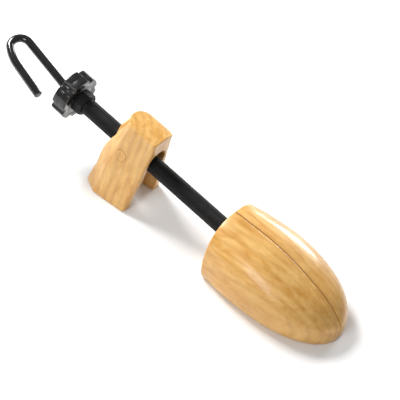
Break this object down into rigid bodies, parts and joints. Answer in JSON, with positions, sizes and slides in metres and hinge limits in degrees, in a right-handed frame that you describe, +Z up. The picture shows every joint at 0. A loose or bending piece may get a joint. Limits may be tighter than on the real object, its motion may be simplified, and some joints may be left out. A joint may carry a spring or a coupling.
{
  "type": "two-way shoe tree",
  "caption": "Wooden shoe tree that stretches a shoe's length with a knob on a threaded tube and its width with a hook-ended rod.",
  "frame": {"origin": "middle of the whole object's floor print, on the floor plane that the forefoot's soles and the heel block's foot rest on", "axes": "+X towards the toe, +Y to the left, +Z up"},
  "size_m": [0.4076, 0.0872, 0.0925],
  "materials": {
    "varnished_wood": "satin varnish",
    "black_rod": "gloss black",
    "black_plastic": "gloss black",
    "black_steel": "matte black",
    "steel": "zinc plated",
    "bright_steel": "bright",
    "brass": "plain"
  },
  "bodies": {
    "yoke_body": {"yoke": "steel", "yoke_cap": "steel", "yoke_cap_screws": "bright_steel", "tube_bearing": "brass", "thrust_washer_rear": "bright_steel", "thrust_washer_front": "bright_steel", "rod_bush_rear": "brass", "rod_bush_front": "brass", "guide_pin_upper": "bright_steel", "guide_pin_lower": "bright_steel", "guide_pin_front": "bright_steel"},
    "handle": {"hook_rod": "black_rod", "rod_collar": "steel", "rod_collar_pin": "bright_steel"},
    "screw_tube": {"threaded_tube": "black_steel", "knob": "black_plastic", "knob_lock_nut": "black_steel", "knob_grub_screw": "bright_steel", "tube_flange": "steel", "tube_flange_pin": "bright_steel", "tube_bush_rear": "brass", "tube_bush_front": "brass"},
    "wedge": {"wedge_nut": "brass"},
    "half_left": {"forefoot_left": "varnished_wood", "ramp_rail_left": "steel", "rail_pin_left": "bright_steel", "guide_bushes_left": "brass"},
    "half_right": {"forefoot_right": "varnished_wood", "ramp_rail_right": "steel", "rail_pin_right": "bright_steel", "guide_bushes_right": "brass"},
    "heel_carrier": {"heel_nut": "brass"},
    "heel": {"heel_block": "varnished_wood", "heel_bush_left": "brass", "heel_bush_right": "brass", "heel_plug_left": "varnished_wood", "heel_plug_right": "varnished_wood"}
  },
  "joints": [
    {"name": "handle_turn", "type": "hinge", "parent": "yoke_body", "child": "handle", "pos_m": [0.0742, 0, 0.033], "axis": [0.9848, 0, -0.1736], "range_deg": [0, 3456]},
    {"name": "wedge_slide", "type": "slide", "parent": "yoke_body", "child": "wedge", "axis": [-0.9848, 0, 0.1736], "range_m": [0, 0.012]},
    {"name": "half_left_slide", "type": "slide", "parent": "yoke_body", "child": "half_left", "axis": [0, 1, 0], "range_m": [0, 0.006]},
    {"name": "half_right_slide", "type": "slide", "parent": "yoke_body", "child": "half_right", "axis": [0, -1, 0], "range_m": [0, 0.006]},
    {"name": "knob_turn", "type": "hinge", "parent": "yoke_body", "child": "screw_tube", "pos_m": [0.0742, 0, 0.033], "axis": [0.9848, 0, -0.1736], "range_deg": [-7200, 6480]},
    {"name": "heel_slide", "type": "slide", "parent": "yoke_body", "child": "heel_carrier", "axis": [0.9848, 0, -0.1736], "range_m": [-0.02701, 0.03001]},
    {"name": "heel_tilt", "type": "hinge", "parent": "heel_carrier", "child": "heel", "pos_m": [-0.04496, 0, 0.05401], "axis": [0, 1, 0], "range_deg": [-10, 10]}
  ],
  "couplings": [
    {"joint": "wedge_slide", "follows": "handle_turn", "m_per_rad": 0.00019894},
    {"joint": "half_left_slide", "follows": "handle_turn", "m_per_rad": 0.000099472},
    {"joint": "half_right_slide", "follows": "handle_turn", "m_per_rad": 0.000099472},
    {"joint": "heel_slide", "follows": "knob_turn", "m_per_rad": -0.00023873}
  ]
}
